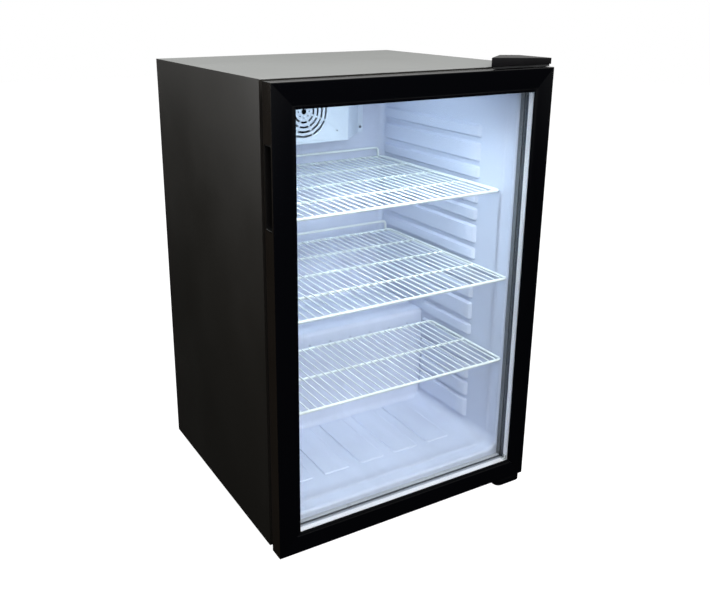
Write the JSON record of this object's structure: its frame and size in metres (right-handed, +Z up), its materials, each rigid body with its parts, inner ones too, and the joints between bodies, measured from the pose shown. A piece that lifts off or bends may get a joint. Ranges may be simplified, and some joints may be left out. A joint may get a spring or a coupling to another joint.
{
  "type": "glass door merchandiser",
  "caption": "Countertop refrigerated merchandiser: insulated steel cabinet, hinged double-glazed door with an edge finger pocket, wire shelves and a rear machine compartment.",
  "frame": {"origin": "on the surface the feet stand on, under the middle of the bounding box", "axes": "+Z up, -Y towards the user in front of the door, +X to the hinge side"},
  "size_m": [0.504, 0.4828, 0.7848],
  "materials": {
    "side_enamel": "satin",
    "top_enamel": "satin",
    "black_plastic": "fine texture",
    "gloss_black": "gloss",
    "liner_white": "satin",
    "foam": "matte",
    "zinc_steel": "satin",
    "wire_coating": "satin",
    "glass": "clear",
    "spacer_metal": "satin",
    "aluminium": "satin",
    "copper": "satin",
    "rubber": "matte",
    "gasket_grey": "matte",
    "compressor_paint": "satin",
    "white_plastic": "satin",
    "lamp_lens": "frosted"
  },
  "bodies": {
    "cabinet": {"side_panel_left": "side_enamel", "side_panel_right": "side_enamel", "top_panel": "top_enamel", "back_panel": "zinc_steel", "base_pan": "zinc_steel", "front_trim": "liner_white", "liner": "liner_white", "insulation_foam": "foam", "compartment_divider": "zinc_steel", "rear_cover": "side_enamel", "foot_front_left": "rubber", "foot_front_right": "rubber", "foot_rear_left": "rubber", "foot_rear_right": "rubber", "fan_cover": "liner_white", "evaporator_coil": "aluminium", "evaporator_fan_motor": "black_plastic", "thermostat_body": "white_plastic", "light_housing": "aluminium", "light_lens": "lamp_lens", "compressor": "compressor_paint", "compressor_mount_front_left": "rubber", "compressor_mount_front_right": "rubber", "compressor_mount_rear_left": "rubber", "compressor_mount_rear_right": "rubber", "compressor_relay_box": "black_plastic", "condenser_coil": "aluminium", "condenser_fan_bracket": "zinc_steel", "condenser_fan_motor": "black_plastic", "filter_drier": "copper", "discharge_pipe": "copper", "liquid_pipe": "copper", "drain_tray": "black_plastic", "light_switch_body": "black_plastic", "power_inlet": "black_plastic", "top_hinge_bracket": "zinc_steel", "bottom_hinge_bracket": "compressor_paint", "top_hinge_pin": "zinc_steel", "bottom_hinge_pin": "zinc_steel", "top_hinge_cover": "black_plastic"},
    "door": {"door_top_rail": "gloss_black", "door_bottom_rail": "gloss_black", "door_left_stile": "gloss_black", "door_right_stile": "gloss_black", "door_bush_top": "white_plastic", "door_bush_bottom": "white_plastic", "door_gasket": "gasket_grey", "handle_cup": "black_plastic", "outer_glass": "glass", "inner_glass": "glass", "glass_spacer": "spacer_metal"},
    "upper_shelf": {"shelf_upper": "wire_coating", "shelf_upper_backstop": "wire_coating"},
    "middle_shelf": {"shelf_middle": "wire_coating", "shelf_middle_backstop": "wire_coating"},
    "lower_shelf": {"shelf_lower": "wire_coating"},
    "evaporator_fan": {"evaporator_fan_blade": "black_plastic"},
    "condenser_fan": {"condenser_fan_blade": "black_plastic"},
    "knob": {"thermostat_knob": "white_plastic"},
    "rocker": {"light_switch_rocker": "gloss_black"}
  },
  "joints": [
    {"name": "door_hinge", "type": "hinge", "parent": "cabinet", "child": "door", "pos_m": [0.24, -0.2274, 0.395], "axis": [0, 0, 1], "range_deg": [0, 120]},
    {"name": "upper_shelf_slide", "type": "slide", "parent": "cabinet", "child": "upper_shelf", "axis": [0, -1, 0], "range_m": [0, 0.044]},
    {"name": "middle_shelf_slide", "type": "slide", "parent": "cabinet", "child": "middle_shelf", "axis": [0, -1, 0], "range_m": [-0.034, 0.01]},
    {"name": "lower_shelf_slide", "type": "slide", "parent": "cabinet", "child": "lower_shelf", "axis": [0, -1, 0], "range_m": [-0.034, 0.01]},
    {"name": "evaporator_fan_spin", "type": "hinge", "parent": "cabinet", "child": "evaporator_fan", "pos_m": [0, 0.1555, 0.667], "axis": [0, 1, 0], "continuous": true},
    {"name": "condenser_fan_spin", "type": "hinge", "parent": "cabinet", "child": "condenser_fan", "pos_m": [-0.18, 0.155, 0.118], "axis": [1, 0, 0], "continuous": true},
    {"name": "thermostat_turn", "type": "hinge", "parent": "cabinet", "child": "knob", "pos_m": [-0.072, 0.1391, 0.6265], "axis": [0, 1, 0], "range_deg": [0, 270]},
    {"name": "light_switch_rock", "type": "hinge", "parent": "cabinet", "child": "rocker", "pos_m": [-0.06, 0.2344, 0.198], "axis": [1, 0, 0], "range_deg": [0, 18]}
  ]
}
